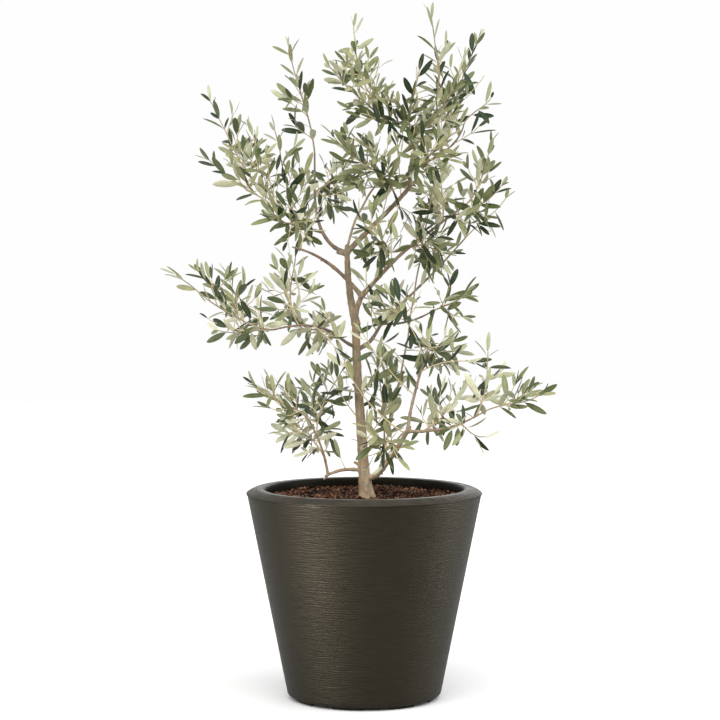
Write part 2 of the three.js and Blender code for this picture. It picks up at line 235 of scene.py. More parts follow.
# points along a smooth curve through the given ones, each stretch a cubic whose slopes
# are those of its neighbours, with about the given spacing
def smoothPath(points, values, spacing):
    points = np.asarray(points, float)
    slopes = np.gradient(points, axis=0)
    rows, numbers = [], []
    for i in range(len(points) - 1):
        count = max(2, int(np.linalg.norm(points[i + 1] - points[i]) / spacing))
        t = np.linspace(0, 1, count, endpoint=False)[:, None]
        a, b, c, d = points[i], points[i + 1], slopes[i], slopes[i + 1]
        rows.append((2 * t**3 - 3 * t**2 + 1) * a + (t**3 - 2 * t**2 + t) * c
                    + (3 * t**2 - 2 * t**3) * b + (t**3 - t**2) * d)
        numbers.append(values[i] + (values[i + 1] - values[i]) * t[:, 0])
    rows.append(points[-1:])
    numbers.append(np.array([values[-1]]))
    return np.concatenate(rows), np.concatenate(numbers)


# directions along a path, and two more square to it that don't twist on the way
def carryFrames(path):
    forward = unit(np.gradient(path, axis=0))
    across = np.empty_like(forward)
    side = np.cross(forward[0], (0.3, 0.2, 1.0))
    for i, f in enumerate(forward):
        side = side - f * (side @ f)
        side = side / np.linalg.norm(side)
        across[i] = side
    return forward, across, np.cross(forward, across)


# tube: a round section whose radius follows the path, closed by a smaller ring and a point at the
# tip and by a point at the foot
def sweepTube(path, radii, sides):
    forward, across, other = carryFrames(path)
    angle = roundTurn(sides)[None, :, None]
    ring = np.cos(angle) * across[:, None] + np.sin(angle) * other[:, None]
    grid = path[:, None] + ring * np.asarray(radii)[:, None, None]
    tipRing = path[-1] + forward[-1] * radii[-1] * 0.5 + ring[-1] * radii[-1] * 0.7
    grid = np.concatenate([grid, tipRing[None]])
    ends = [path[0], path[-1] + forward[-1] * radii[-1] * 0.75]
    return shareBlocks(np.concatenate([grid.reshape(-1, 3), ends]), *ringFaces(len(grid), sides))


# limbs read from the frame

limbPlan = {
    "ringGap": 0.006,      # rings of one limb lie further apart than this
    "spacing": 0.006,      # of the points that a parent is looked for with
    "clear": 0.016,        # a ring this near the start of its limb is left out
    "trueRing": 0.5,       # a point closer in than this share of the furthest isn't on the ring
}


# centres and radii of a limb's rings, from the foot to the tip
def readRings(name, foot):
    points, _ = readNode(name)
    tip = points[np.argmax(np.linalg.norm(points - foot, axis=1))]
    away = np.linalg.norm(points - tip, axis=1)
    order = np.argsort(away)
    groups = np.split(order, np.where(np.diff(away[order]) > limbPlan["ringGap"])[0] + 1)
    centres, radii = [], []
    for group in groups:
        if len(group) < 4:
            continue
        centre = points[group].mean(0)
        reach = np.linalg.norm(points[group] - centre, axis=1)
        centres.append(centre)
        radii.append(reach[reach > limbPlan["trueRing"] * reach.max()].mean())
    return np.array(centres[::-1]), np.array(radii[::-1])


# limbs in the order they grow: each starts on the nearest limb that is already there
def readLimbs():
    low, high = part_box("trunk")
    footCentre = np.array([(low[0] + high[0]) / 2, (low[1] + high[1]) / 2, low[2]])
    centres, radii = readRings("trunk", footCentre)
    found = {"trunk": {"path": centres, "radii": radii, "parent": None}}
    waiting = {n: readNode(n)[0] for n in limbNames if n != "trunk"}
    while waiting:
        best = None
        for name, points in waiting.items():
            for parent, limb in found.items():
                dense, _ = smoothPath(limb["path"], limb["radii"], limbPlan["spacing"])
                gaps = np.linalg.norm(points[:, None] - dense[None], axis=2)
                near = gaps.min()
                if best is None or near < best[0]:
                    i, j = np.unravel_index(gaps.argmin(), gaps.shape)
                    best = (near, name, parent, points[i], dense[j])
        _, name, parent, foot, start = best
        centres, radii = readRings(name, foot)
        keep = np.linalg.norm(centres - start, axis=1) > limbPlan["clear"]
        centres, radii = centres[keep], radii[keep]
        first = radii[0] + (radii[0] - radii[-1]) / len(radii)
        found[name] = {"path": np.vstack([start, centres]), "radii": np.r_[first, radii], "parent": parent}
        del waiting[name]
    return found


limbs = readLimbs()
print("limbs read:", len(limbs), {n: limb["parent"] for n, limb in limbs.items()})


# materials

# a new material and its node tree
def bench(name):
    material = bpy.data.materials.new(name)
    material.use_nodes = True
    return material, material.node_tree


# a node with its settings; an input is a plain value or another node's output
def put(tree, kind, inputs=None, **settings):
    node = tree.nodes.new(kind)
    for key, value in settings.items():
        setattr(node, key, value)
    for key, value in (inputs or {}).items():
        if isinstance(value, bpy.types.NodeSocket):
            tree.links.new(value, node.inputs[key])
        else:
            node.inputs[key].default_value = value
    return node


def maths(tree, operation, first, second=0.5, clamp=False):
    inputs = {0: first, 1: second}
    return put(tree, "ShaderNodeMath", inputs, operation=operation, use_clamp=clamp).outputs[0]


# place on the object, stretched by the group's own vector
def stretchedPlace(tree, given):
    place = put(tree, "ShaderNodeTexCoord").outputs["Object"]
    inputs = {0: place, 1: given.outputs["Stretch"]}
    return put(tree, "ShaderNodeVectorMath", inputs, operation="MULTIPLY").outputs[0]


# a group with named inputs and outputs, its group input and its group output
def startGroup(name, ins, outs):
    group = bpy.data.node_groups.new(name, "ShaderNodeTree")
    for label, kind, value in ins:
        socket = group.interface.new_socket(label, in_out="INPUT", socket_type=kind)
        socket.default_value = value
    for label, kind in outs:
        group.interface.new_socket(label, in_out="OUTPUT", socket_type=kind)
    return group, group.nodes.new("NodeGroupInput"), group.nodes.new("NodeGroupOutput")


# soft cloudy variation: noise at a scale, stretched, with its contrast raised
def makeCloud():
    group, given, out = startGroup("cloud", [
        ("Scale", "NodeSocketFloat", 40.0), ("Stretch", "NodeSocketVector", (1, 1, 1)),
        ("Detail", "NodeSocketFloat", 4.0), ("Contrast", "NodeSocketFloat", 1.0),
    ], [("Value", "NodeSocketFloat")])
    noise = put(group, "ShaderNodeTexNoise", {
        "Vector": stretchedPlace(group, given), "Scale": given.outputs["Scale"],
        "Detail": given.outputs["Detail"]}).outputs[0]
    raised = maths(group, "MULTIPLY", maths(group, "SUBTRACT", noise, 0.5), given.outputs["Contrast"])
    group.links.new(maths(group, "ADD", raised, 0.5, True), out.inputs["Value"])
    return group


# small dark or pale spots: the near part of each cell of a Voronoi pattern
def makeSpots():
    group, given, out = startGroup("spots", [
        ("Scale", "NodeSocketFloat", 200.0), ("Stretch", "NodeSocketVector", (1, 1, 1)),
        ("Size", "NodeSocketFloat", 0.2),
    ], [("Mask", "NodeSocketFloat")])
    cells = put(group, "ShaderNodeTexVoronoi", {
        "Vector": stretchedPlace(group, given), "Scale": given.outputs["Scale"]})
    near = maths(group, "DIVIDE", cells.outputs["Distance"], given.outputs["Size"])
    group.links.new(maths(group, "SUBTRACT", 1.0, near, True), out.inputs["Mask"])
    return group


# dust and painted skylight: a mask strongest where a surface looks up, broken by noise; the paler colour it
# lays on is partly dust and partly light from the sky painted in
def makeDustAndSkylight():
    group, given, out = startGroup("dust_and_skylight", [
        ("Amount", "NodeSocketFloat", 0.3), ("Scale", "NodeSocketFloat", 60.0),
    ], [("Mask", "NodeSocketFloat")])
    facing = put(group, "ShaderNodeNewGeometry")
    parts = put(group, "ShaderNodeSeparateXYZ", {0: facing.outputs["Normal"]})
    place = put(group, "ShaderNodeTexCoord")
    noise = put(group, "ShaderNodeTexNoise", {
        "Vector": place.outputs["Object"], "Scale": given.outputs["Scale"], "Detail": 5.0})
    upward = put(group, "ShaderNodeMapRange", {0: parts.outputs["Z"], 1: 0.2, 2: 1.0}).outputs[0]
    broken = maths(group, "MULTIPLY", upward, noise.outputs[0])
    group.links.new(maths(group, "MULTIPLY", broken, given.outputs["Amount"], True), out.inputs["Mask"])
    return group


groups = {"cloud": makeCloud(), "spots": makeSpots(), "dust_and_skylight": makeDustAndSkylight()}


def useGroup(tree, name, **inputs):
    node = tree.nodes.new("ShaderNodeGroup")
    node.node_tree = groups[name]
    for key, value in inputs.items():
        node.inputs[key].default_value = value
    return node.outputs[0]


def mixColour(tree, factor, first, second, blend="MIX"):
    node = tree.nodes.new("ShaderNodeMix")
    node.data_type = "RGBA"
    node.blend_type = blend
    for place, value in ((0, factor), (6, first), (7, second)):
        if isinstance(value, bpy.types.NodeSocket):
            tree.links.new(value, node.inputs[place])
        else:
            node.inputs[place].default_value = value if place == 0 else (*value, 1)
    return node.outputs[2]


def ranged(tree, value, low, high, fromLow=0.0, fromHigh=1.0):
    return put(tree, "ShaderNodeMapRange", {0: value, 1: fromLow, 2: fromHigh, 3: low, 4: high}).outputs[0]


# first plus a share of second
def addUp(tree, first, second, share):
    return maths(tree, "ADD", first, maths(tree, "MULTIPLY", second, share))


# joins colour, roughness and height to the shader; plain values stay on its own sockets
def finish(tree, colour, roughness, height=None, depth=0.0005, strength=1.0, **plain):
    shader = tree.nodes["Principled BSDF"]
    tree.links.new(colour, shader.inputs["Base Color"])
    if isinstance(roughness, float):
        shader.inputs["Roughness"].default_value = roughness
    else:
        tree.links.new(roughness, shader.inputs["Roughness"])
    if height is not None:
        bump = put(tree, "ShaderNodeBump", {"Height": height, "Distance": depth, "Strength": strength})
        tree.links.new(bump.outputs[0], shader.inputs["Normal"])
    for key, value in plain.items():
        shader.inputs[key.replace("_", " ")].default_value = value


# leaves: plain tone, a paler midrib from the leaf's own UV and faint mottling
leafTones = {
    # name: (upper side, lower side, share of the sprays)
    "sage": ((0.202, 0.218, 0.095), (0.620, 0.620, 0.425), 0.30),
    "olive": ((0.096, 0.124, 0.037), (0.445, 0.462, 0.270), 0.30),
    # deep is partly a real dark leaf tone and partly painted shade: both of its sides are darker copies of a
    # leaf's colours, the underside too, dealt to whole sprays and to most hanging leaves, which hang in shade
    "deep": ((0.022, 0.041, 0.010), (0.105, 0.135, 0.062), 0.20),
    "young": ((0.335, 0.338, 0.168), (0.670, 0.660, 0.450), 0.20),
}


def leafMaterial(name, tone, isTop):
    material, tree = bench(name)
    place = put(tree, "ShaderNodeUVMap", uv_map="UVMap")
    parts = put(tree, "ShaderNodeSeparateXYZ", {0: place.outputs[0]})
    off = maths(tree, "ABSOLUTE", maths(tree, "SUBTRACT", parts.outputs["Y"]))
    rib = ranged(tree, off, 1.0, 0.0, 0.02, 0.09)
    mottle = useGroup(tree, "cloud", Scale=60.0, Detail=2.0, Contrast=1.6)
    darker = tuple(c * 0.78 for c in tone)
    lighter = tuple(min(1, c * 1.2 + 0.01) for c in tone)
    colour = mixColour(tree, mottle, darker, lighter)
    ribTone = tuple(min(1, c * 1.25 + 0.07) for c in tone) if isTop else tuple(c * 1.1 for c in tone)
    colour = mixColour(tree, maths(tree, "MULTIPLY", rib, 0.55), colour, ribTone)
    roughness = ranged(tree, mottle, 0.36, 0.52) if isTop else ranged(tree, mottle, 0.62, 0.78)
    finish(tree, colour, roughness, mottle, 0.0003, 0.3,
           Sheen_Weight=0.0 if isTop else 0.25, Specular_IOR_Level=0.27 if isTop else 0.16)
    return material


# bark: beige on the thick wood and greyer on the thin, from the girth kept on each point
def barkMaterial():
    material, tree = bench("bark")
    girth = put(tree, "ShaderNodeAttribute", attribute_name="girth").outputs["Fac"]
    broad = useGroup(tree, "cloud", Scale=26.0, Detail=5.0, Contrast=2.2)
    streak = useGroup(tree, "cloud", Scale=70.0, Stretch=(2.6, 2.6, 0.5), Detail=6.0, Contrast=2.4)
    fine = useGroup(tree, "cloud", Scale=420.0, Stretch=(1.6, 1.6, 0.6), Detail=4.0, Contrast=2.0)
    dots = useGroup(tree, "spots", Scale=150.0, Stretch=(1.0, 1.0, 0.55), Size=0.16)
    thick = mixColour(tree, broad, (0.275, 0.208, 0.130), (0.435, 0.350, 0.235))
    thin = mixColour(tree, broad, (0.20, 0.148, 0.108), (0.34, 0.27, 0.205))
    low = mixColour(tree, broad, (0.37, 0.270, 0.168), (0.56, 0.445, 0.300))
    place = put(tree, "ShaderNodeTexCoord")
    rise = put(tree, "ShaderNodeSeparateXYZ", {0: place.outputs["Object"]}).outputs["Z"]
    thin = mixColour(tree, ranged(tree, rise, 0.0, 1.0, 0.50, 0.68), low, thin)
    thick = mixColour(tree, ranged(tree, rise, 0.0, 1.0, 0.46, 0.64), low, thick)
    bulk = ranged(tree, girth, 0.0, 1.0, 0.0028, 0.0085)
    colour = mixColour(tree, bulk, thin, thick)
    shade = ranged(tree, streak, 0.62, 1.12)
    shadeColour = put(tree, "ShaderNodeCombineColor", {0: shade, 1: shade, 2: shade}).outputs[0]
    colour = mixColour(tree, 1.0, colour, shadeColour, "MULTIPLY")
    warm = useGroup(tree, "cloud", Scale=48.0, Detail=3.0, Contrast=5.0)
    colour = mixColour(tree, ranged(tree, warm, 0.0, 0.28, 0.72, 1.0), colour, (0.50, 0.26, 0.10))
    colour = mixColour(tree, maths(tree, "MULTIPLY", dots, 0.7), colour, (0.13, 0.085, 0.055))
    height = addUp(tree, streak, fine, 0.5)
    height = addUp(tree, height, dots, -1.2)
    finish(tree, colour, ranged(tree, fine, 0.72, 0.92), height, 0.0009, 0.8, Specular_IOR_Level=0.3)
    return material


def twigMaterial(name, pale, dark):
    material, tree = bench(name)
    patch = useGroup(tree, "cloud", Scale=60.0, Detail=4.0, Contrast=2.4)
    fine = useGroup(tree, "cloud", Scale=600.0, Detail=3.0, Contrast=2.0)
    colour = mixColour(tree, patch, dark, pale)
    finish(tree, colour, ranged(tree, fine, 0.55, 0.8), fine, 0.0003, 0.35)
    return material


# pot: dark plastic, combed all round, with faint brown clouds, scuffs, and dust with painted skylight where
# the lip faces up; the inside is a darker copy of the same plastic, painted shade
def potMaterial(name, level):
    material, tree = bench(name)
    clouds = useGroup(tree, "cloud", Scale=6.0, Detail=3.0, Contrast=1.8)
    comb = useGroup(tree, "cloud", Scale=30.0, Stretch=(1.2, 1.2, 13.0), Detail=1.0, Contrast=2.0)
    fine = useGroup(tree, "cloud", Scale=900.0, Detail=2.0, Contrast=1.5)
    scuff = useGroup(tree, "spots", Scale=38.0, Stretch=(1.0, 1.0, 3.5), Size=0.1)
    dustAndSkylight = useGroup(tree, "dust_and_skylight", Amount=0.30 * level, Scale=50.0)
    # a level below 1 gives a darker copy of the same plastic, with weaker reflections, as painted shade for
    # the inside
    dark = tuple(level * c for c in (0.0070, 0.0057, 0.0029))
    pale = tuple(level * c for c in (0.0118, 0.0093, 0.0050))
    colour = mixColour(tree, clouds, dark, pale)
    combShare = ranged(tree, comb, 0.0, 0.28)
    colour = mixColour(tree, combShare, colour, tuple(level * c for c in (0.025, 0.022, 0.0145)))
    # dust and painted skylight: paler where the surface faces up
    colour = mixColour(tree, dustAndSkylight, colour, (0.19, 0.17, 0.145))
    roughness = addUp(tree, ranged(tree, comb, 0.40, 0.54), scuff, 0.12)
    height = addUp(tree, comb, fine, 0.12)
    height = addUp(tree, height, scuff, -0.25)
    finish(tree, colour, roughness, height, 0.0006, 0.45, Specular_IOR_Level=0.32 * level,
           Specular_Tint=(1.0, 0.90, 0.70, 1))
    return material


def chipMaterial(name, pale, dark, scale=130.0):
    material, tree = bench(name)
    patch = useGroup(tree, "cloud", Scale=scale, Detail=5.0, Contrast=2.6)
    fine = useGroup(tree, "cloud", Scale=800.0, Stretch=(1.0, 0.4, 1.0), Detail=4.0, Contrast=2.0)
    colour = mixColour(tree, patch, dark, pale)
    finish(tree, colour, ranged(tree, fine, 0.65, 0.9), addUp(tree, fine, patch, 0.8), 0.0008, 0.9,
           Specular_IOR_Level=0.2)
    return material


# plain white to the eye, but a weaker reflector for all other light, so the shade stays soft
def floorMaterial():
    material, tree = bench("floor_white")
    soft = useGroup(tree, "cloud", Scale=0.8, Detail=2.0, Contrast=1.0)
    seen = mixColour(tree, soft, (0.935, 0.935, 0.935), (0.950, 0.950, 0.950))
    ray = put(tree, "ShaderNodeLightPath").outputs["Is Camera Ray"]
    colour = mixColour(tree, ray, (0.55, 0.55, 0.55), seen)
    finish(tree, colour, 0.9, Specular_IOR_Level=0.0)
    return material


print("materials ready")


# trunk and boughs

barkPlan = {
    "spacing": 0.003,
    "sides": 20,
    "voxel": 0.00130,
    "crook": 0.0030,        # sideways wander of a bough
    "crookLength": 0.05,
    "trunkCrook": 0.5,      # share of that on the trunk
    "collar": 0.4,          # swelling where a bough leaves its parent
    "collarReach": 2.6,     # how far it goes, in foot radii
    "nodeSpacing": 0.030,   # swellings where leaves once stood
    "nodeWidth": 0.0032,
    "nodeSwell": 0.24,
    "trunkNodes": 0.35,     # share of that on the trunk
    "endPlaces": (1.4, 3.0),    # two more rings at a limb's end: how far on and how wide, in radii
    "endRadii": (0.8, 0.45),
    "stubSides": 12,
    "relief": 0.05,         # lumps on the bark, as a share of the radius
    "creases": 0.03,        # the same for long shallow creases
    "creaseGirth": 0.012,   # no deeper than on a limb this thick
    "scarRim": 0.0011,
    "scarDent": 0.0008,
    "footLobes": 0.16,      # uneven root flare, as a share of the radius
    "lobeHeight": 0.03,
    "sink": 0.003,          # the foot goes this far into the loose chips
    "seed": 21,
}

# short cut stubs: limb, share of its length, heading and rise in degrees, length and radius
stubs = [
    ("trunk", 0.175, 188, 30, 0.016, 0.0036),
    ("trunk", 0.62, 20, 25, 0.013, 0.0028),
    ("stem_left", 0.985, 172, 12, 0.017, 0.0046),
    ("bough_mid_right", 0.97, 200, 60, 0.012, 0.0026),
    ("bough_mid_upper", 0.10, 160, 40, 0.011, 0.0024),
    ("bough_low_left", 0.96, 215, -38, 0.014, 0.0024),
    ("bough_crossing", 0.62, 250, -20, 0.008, 0.0018),
    ("bough_right", 0.42, 300, 10, 0.008, 0.0018),
    ("bough_low_right", 0.52, 100, 50, 0.012, 0.0028),
    ("bough_top_right", 0.35, 110, 20, 0.010, 0.0024),
]

# old pruning scars on the trunk: share of its length, heading in degrees and radius
scars = [
    (0.055, -78, 0.0062),
    (0.17, -80, 0.0042),
    (0.47, -120, 0.0036),
    (0.8, -60, 0.0034),
    (0.36, 95, 0.0045),
]


# unit direction from a heading and a rise in degrees
def direction(heading, rise):
    h, r = math.radians(heading), math.radians(rise)
    return np.array([math.cos(r) * math.cos(h), math.cos(r) * math.sin(h), math.sin(r)])


def pointOnPath(path, share):
    place = share * (len(path) - 1)
    before = min(int(place), len(path) - 2)
    return path[before] + (path[before + 1] - path[before]) * (place - before)


# a limb's fine path and radii: its smooth line with a sideways wander that fades at both ends,
# and a radius that swells at the collar and at each node
def detailLimb(name, limb, seed):
    path, radii = smoothPath(limb["path"], limb["radii"], barkPlan["spacing"])
    along = lengthsAlong(path)
    _, across, other = carryFrames(path)
    fade = np.sin(np.pi * np.clip(along / along[-1], 0, 1)) ** 0.5
    strength = barkPlan["crook"] * (barkPlan["trunkCrook"] if name == "trunk" else 1.0)
    phase = np.column_stack([along, along * 0.2, np.full_like(along, seed)])
    wander = waveField(phase, barkPlan["crookLength"], seed) * strength * fade
    lean = waveField(phase, barkPlan["crookLength"], seed + 50) * strength * fade
    path = path + across * wander[:, None] + other * lean[:, None]
    swell = np.zeros_like(along)
    rng = np.random.default_rng(seed)
    spot = rng.uniform(0.02, 0.04)
    while spot < along[-1] - 0.01:
        swell += rng.uniform(0.4, 1.0) * np.exp(-((along - spot) / barkPlan["nodeWidth"]) ** 2)
        spot += barkPlan["nodeSpacing"] * rng.uniform(0.7, 1.4)
    share = barkPlan["trunkNodes"] if name == "trunk" else 1.0
    grown = radii * (1 + barkPlan["nodeSwell"] * swell * share)
    if limb["parent"]:
        grown = grown * (1 + barkPlan["collar"] * np.exp(-along / (radii[0] * barkPlan["collarReach"])))
    return path, grown


fineLimbs = {name: detailLimb(name, limb, barkPlan["seed"] + i)
             for i, (name, limb) in enumerate(limbs.items())}


# tubes along all limbs and stubs, fused into one skin by a voxel remesh and smoothed
def growBark():
    blocks = []
    for name, (path, radii) in fineLimbs.items():
        if name == "trunk":
            foot = path[0] - [0, 0, barkPlan["sink"]]
            path, radii = np.vstack([foot, path]), np.r_[radii[0], radii]
        ahead = unit(path[-1] - path[-4]) * radii[-1]
        path = np.vstack([path] + [path[-1] + ahead * place for place in barkPlan["endPlaces"]])
        radii = np.r_[radii, radii[-1] * np.array(barkPlan["endRadii"])]
        blocks += sweepTube(path, radii, barkPlan["sides"])
    for limbName, share, heading, rise, length, radius in stubs:
        start = pointOnPath(fineLimbs[limbName][0], share)
        steps = np.linspace(0, 1, 7)[:, None]
        path = start + direction(heading, rise) * (length + limbs[limbName]["radii"].mean() * 0.6) * steps
        blocks += sweepTube(path, radius * (1.35 - 0.4 * steps[:, 0] ** 0.5), barkPlan["stubSides"])
    piece = addMesh("trunk_and_boughs", blocks, [barkMaterial()], limbNames)
    remesh = piece.modifiers.new("fuse", "REMESH")
    remesh.mode = "VOXEL"
    remesh.voxel_size = barkPlan["voxel"]
    remesh.use_smooth_shade = True
    settle = piece.modifiers.new("settle", "SMOOTH")
    settle.factor = 0.5
    settle.iterations = 3
    applyModifiers(piece)
    carveBark(piece)
    return piece


def applyModifiers(piece):
    depsgraph = bpy.context.evaluated_depsgraph_get()
    made = bpy.data.meshes.new_from_object(piece.evaluated_get(depsgraph))
    made.name = piece.name
    old = piece.data
    piece.modifiers.clear()
    piece.data = made
    bpy.data.meshes.remove(old)
    made.shade_smooth()


# moves each point along its normal by lumps, long shallow creases, foot lobes and raised scars,
# and keeps the local radius as the attribute girth
def carveBark(piece):
    mesh = piece.data
    count = len(mesh.vertices)
    points = np.empty(count * 3)
    mesh.vertices.foreach_get("co", points)
    points = points.reshape(-1, 3)
    normals = np.empty(count * 3)
    mesh.vertices.foreach_get("normal", normals)
    normals = normals.reshape(-1, 3)
    line = np.concatenate([path for path, _ in fineLimbs.values()])
    girths = np.concatenate([radii for _, radii in fineLimbs.values()])
    girth = np.empty(count)
    for start in range(0, count, 4000):
        part = points[start:start + 4000]
        gaps = ((part[:, None] - line[None]) ** 2).sum(2)
        best = (gaps / girths ** 0.7).argmin(1)
        girth[start:start + 4000] = girths[best]
    lumps = waveField(points, 0.014, 3) * 0.6 + waveField(points, 0.006, 4) * 0.4
    creases = -np.abs(waveField(points * [1, 1, 0.22], 0.0034, 5)) + 0.5
    creased = np.minimum(girth, barkPlan["creaseGirth"]) * barkPlan["creases"] * creases
    move = girth * barkPlan["relief"] * lumps + creased
    trunkPath, trunkRadii = fineLimbs["trunk"]
    rise = points[:, 2] - trunkPath[0][2]
    angle = np.arctan2(points[:, 1] - trunkPath[0][1], points[:, 0] - trunkPath[0][0])
    lobes = np.sin(angle * 3 + 0.8) * 0.6 + np.sin(angle * 5 + 2.1) * 0.4
    nearFoot = np.exp(-np.maximum(rise, 0) / barkPlan["lobeHeight"])
    move += lobes * trunkRadii[0] * barkPlan["footLobes"] * nearFoot * (girth > 0.009)
    for share, heading, radius in scars:
        centre = pointOnPath(trunkPath, share)
        centre = centre + direction(heading, 0) * trunkRadii[int(share * (len(trunkRadii) - 1))]
        reach = np.linalg.norm((points - centre) * [1, 1, 0.8], axis=1) / radius
        rim = barkPlan["scarRim"] * np.exp(-((reach - 1) / 0.28) ** 2)
        move += rim - barkPlan["scarDent"] * np.exp(-(reach / 0.6) ** 2)
    points = points + normals * move[:, None]
    mesh.vertices.foreach_set("co", points.ravel())
    mesh.update()
    mesh.attributes.new("girth", "FLOAT", "POINT").data.foreach_set("value", girth.astype(np.float32))


growBark()
print("trunk and boughs grown")


# shoots

shootPlan = {
    "grid": 0.012,        # spacing of the points the shoots of a mass have to reach
    "depth": 0.012,       # how far inside the mass those points lie
    "cover": 0.0208,      # a point this near a shoot is reached
    "shortest": 0.036,
    "leave": 42,          # degrees between a side shoot and the one it leaves
    "leaveCost": 1.5,     # weight of that angle against the length of the way
    "arm": 0.36,          # reach of a curve's end directions, as a share of its length
    "upturn": 0.3,
    "step": 0.006,
    "mainRadius": 0.0023,
    "sideRadius": 0.0014,
    "tipRadius": 0.0009,
    "mainBare": 0.032,    # length without leaves at the foot
    "sideBare": 0.016,
    "mainSides": 8,
    "sideSides": 6,
    "most": 44,           # side shoots in one mass
    "trunkFrom": 0.3,     # masses join the trunk above this share of its length
    "tipNear": 0.012,     # a limb's tip this near a mass ends in it
    "wander": 0.0013,
    "seed": 31,
}

# shoots outside the masses: limb, share of its length, length in metres, heading, turn on the way,
# rise, lift on the way in degrees, foot radius, leafless share
looseShoots = [
    ("bough_mid_right", 0.97, 0.175, 148, -88, 50, 24, 0.0017, 0.35),
    ("bough_low_right", 0.96, 0.253, 165, 39, 30, 49, 0.0021, 0.22),
    ("bough_right", 0.30, 0.060, 120, 20, 88, 0, 0.0012, 0.3),
    ("bough_top_right", 0.85, 0.115, 150, 40, 86, 0, 0.0014, 0.2),
    ("bough_top_right", 0.55, 0.085, 40, -30, 70, 14, 0.0013, 0.2),
    ("bough_crossing", 0.93, 0.032, 20, 10, 66, 10, 0.0012, 0.9),
    ("bough_low_left", 0.45, 0.042, 150, 20, 62, 10, 0.0012, 0.5),
    ("bough_low_back", 0.80, 0.030, 60, 20, 40, 20, 0.0010, 0.6),
    ("bough_low_right", 0.35, 0.110, 62, 30, 52, 18, 0.0015, 0.25),
    ("bough_left_mid", 0.22, 0.085, 250, -30, 30, 30, 0.0013, 0.3),
    ("trunk", 0.56, 0.120, 300, 24, 40, 24, 0.0016, 0.3),
    ("trunk", 0.44, 0.130, 205, -30, 48, 20, 0.0016, 0.3),
    ("trunk", 0.30, 0.120, 318, 30, 44, 24, 0.0016, 0.25),
    ("stem_right", 0.80, 0.100, 320, 20, 45, 20, 0.0015, 0.25),
    ("bough_low_right_up", 0.45, 0.170, 200, -30, 40, 20, 0.0016, 0.2),
    ("bough_low_right_up", 0.75, 0.120, 330, 40, 30, -40, 0.0015, 0.2),
    ("bough_mid_right", 0.55, 0.120, 320, 20, -10, -60, 0.0015, 0.2),
    ("bough_mid_lower", 0.45, 0.110, 280, 30, -5, -65, 0.0014, 0.2),
    ("bough_mid_right", 0.80, 0.120, 250, 30, 20, 35, 0.0015, 0.25),
    ("bough_right", 0.55, 0.090, 330, -20, -5, -50, 0.0013, 0.2),
    ("bough_left_mid", 0.55, 0.100, 300, 20, -10, -45, 0.0013, 0.2),
    ("bough_top_right", 0.72, 0.090, 320, 20, -5, -55, 0.0013, 0.2),
    ("bough_upper_right", 0.48, 0.072, 95, -20, 68, 10, 0.0013, 0.2),
    ("bough_upper_right", 0.70, 0.066, 340, 20, 24, 20, 0.0012, 0.2),
    ("bough_upper_right", 0.88, 0.060, 115, 10, 58, 12, 0.0012, 0.2),
]

up = np.array([0, 0, 1.0])
massPoints, massSkins = {}, {}
for massName in massNames:
    massPoints[massName], triangles = readNode(massName)
    massSkins[massName] = BVHTree.FromPolygons(massPoints[massName].tolist(), triangles.tolist())


# a curve that leaves its start one way and reaches its end another, with a small wander
def bend(start, leave, end, arrive, seed):
    reach = np.linalg.norm(end - start)
    near, far = start + leave * reach * shootPlan["arm"], end - arrive * reach * shootPlan["arm"]
    t = np.linspace(0, 1, max(5, int(reach / shootPlan["step"])))[:, None]
    path = (1 - t)**3 * start + 3 * (1 - t)**2 * t * near + 3 * (1 - t) * t**2 * far + t**3 * end
    _, across, other = carryFrames(path)
    phase = np.column_stack([t[:, 0] * reach, t[:, 0] * 0, t[:, 0] * 0 + seed * 0.1])
    fade = np.sin(math.pi * t) * shootPlan["wander"]
    return path + fade * (across * waveField(phase, 0.012, seed)[:, None]
                          + other * waveField(phase, 0.012, seed + 1)[:, None])


def taper(count, foot, tip):
    return foot + (tip - foot) * np.linspace(0, 1, count) ** 0.8


# jittered grid points that lie inside a closed skin, deeper than a given depth
def insidePoints(skin, low, high, rng):
    steps = [np.arange(low[k], high[k], shootPlan["grid"]) for k in range(3)]
    grid = np.stack(np.meshgrid(*steps, indexing="ij"), -1).reshape(-1, 3)
    grid = grid + rng.uniform(-0.5, 0.5, grid.shape) * shootPlan["grid"]
    return np.array([p for p in grid if outsideBy(skin, p) < -shootPlan["depth"]])


# distance of a point from a closed skin, negative inside it
def outsideBy(skin, point):
    near, normal, _, gap = skin.find_nearest(point)
    return gap if (Vector(point) - near).dot(normal) > 0 else -gap


# where a mass joins the limbs: the tip of a limb if one ends in it, or the nearest point of a limb
def findEntry(skin):
    best = None
    for name, (path, radii) in fineLimbs.items():
        start = 0 if name != "trunk" else int(len(path) * shootPlan["trunkFrom"])
        for i in range(start, len(path), 3):
            gap = outsideBy(skin, path[i])
            if best is None or gap < best[0]:
                best = (gap, name, i)
        gap = outsideBy(skin, path[-1])
        if gap < shootPlan["tipNear"]:
            best = (gap - 1, name, len(path) - 1) if best[0] > gap - 1 else best
    _, name, i = best
    path, radii = fineLimbs[name]
    forward = unit(path[min(i + 2, len(path) - 1)] - path[max(i - 3, 0)])
    return path[i], forward, radii[i], i == len(path) - 1


